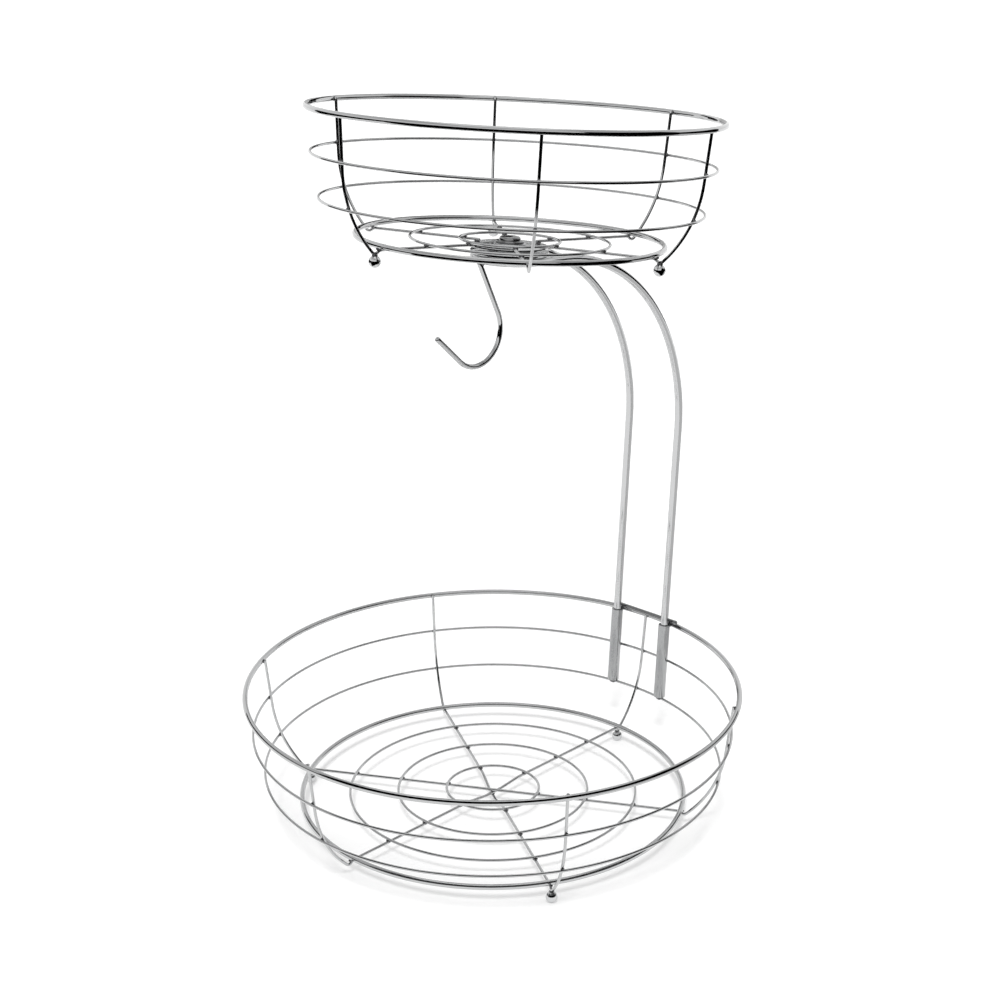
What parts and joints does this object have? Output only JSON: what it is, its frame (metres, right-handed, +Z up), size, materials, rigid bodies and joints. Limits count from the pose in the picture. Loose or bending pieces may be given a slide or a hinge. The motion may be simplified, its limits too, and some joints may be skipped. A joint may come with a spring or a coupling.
{
  "type": "tiered wire fruit basket",
  "caption": "Tiered wire fruit basket: a wide round basket below, a bent wire arch plugged into its back, a smaller round basket on top and a banana hook under the hub.",
  "frame": {"origin": "on the table, under the centre of the lower basket", "axes": "+Z up, +Y towards the arch at the back, +X to the right of someone who looks at the hook"},
  "size_m": [0.3094, 0.3107, 0.4426],
  "materials": {
    "chrome_rim_wire": "bright chrome plate on drawn steel wire",
    "chrome_thin_wire": "bright chrome plate on thin drawn steel wire",
    "chrome_arch_wire": "bright chrome plate on thick drawn steel wire",
    "chrome_tube": "bright chrome plate on steel tube",
    "chrome_ball": "bright chrome plate on a steel ball",
    "chrome_plate": "bright chrome plate on pressed steel sheet",
    "chrome_fastener": "bright chrome plate on turned steel"
  },
  "bodies": {
    "lower_basket": {"lower_base_ring": "chrome_rim_wire", "lower_floor_ring_inner": "chrome_thin_wire", "lower_floor_ring_middle": "chrome_thin_wire", "lower_floor_ring_outer": "chrome_thin_wire", "lower_foot_1": "chrome_ball", "lower_foot_2": "chrome_ball", "lower_foot_3": "chrome_ball", "lower_rib_wire_1": "chrome_thin_wire", "lower_rib_wire_2": "chrome_thin_wire", "lower_rib_wire_3": "chrome_thin_wire", "lower_rim_ring": "chrome_rim_wire", "lower_side_ring_high": "chrome_thin_wire", "lower_side_ring_low": "chrome_thin_wire", "socket_left": "chrome_tube", "socket_right": "chrome_tube"},
    "stand": {"arch_wire": "chrome_arch_wire", "arch_crossbar": "chrome_arch_wire", "arch_seat_plate": "chrome_plate", "hub_spacer": "chrome_plate", "hub_stud": "chrome_fastener", "banana_hook": "chrome_arch_wire"},
    "upper_basket": {"upper_base_ring": "chrome_rim_wire", "upper_floor_ring": "chrome_thin_wire", "upper_foot_1": "chrome_ball", "upper_foot_2": "chrome_ball", "upper_foot_3": "chrome_ball", "upper_hub_plate": "chrome_plate", "upper_hub_ring": "chrome_thin_wire", "upper_rib_1": "chrome_thin_wire", "upper_rib_2": "chrome_thin_wire", "upper_rib_3": "chrome_thin_wire", "upper_rib_4": "chrome_thin_wire", "upper_rib_5": "chrome_thin_wire", "upper_rib_6": "chrome_thin_wire", "upper_rim_ring": "chrome_rim_wire", "upper_side_ring_high": "chrome_thin_wire", "upper_side_ring_low": "chrome_thin_wire"},
    "nut_washer": {"nut_washer": "chrome_fastener"},
    "domed_nut": {"domed_nut": "chrome_fastener"}
  },
  "joints": [
    {"name": "stand_lift", "type": "slide", "parent": "lower_basket", "child": "stand", "axis": [0, 0.0628, 0.998], "range_m": [0, 0.05]},
    {"name": "upper_basket_turn", "type": "hinge", "parent": "stand", "child": "upper_basket", "pos_m": [0, 0.0167, 0.36032], "axis": [0, 0.0732, 0.9973], "continuous": true},
    {"name": "washer_lift", "type": "slide", "parent": "stand", "child": "nut_washer", "axis": [0, 0.0732, 0.9973], "range_m": [0, 0.0027]},
    {"name": "nut_turn", "type": "hinge", "parent": "nut_washer", "child": "domed_nut", "pos_m": [0, 0.0167, 0.36032], "axis": [0, 0.0732, 0.9973], "range_deg": [0, 1215]}
  ],
  "couplings": [
    {"joint": "washer_lift", "follows": "nut_turn", "m_per_rad": 0.00012732}
  ]
}
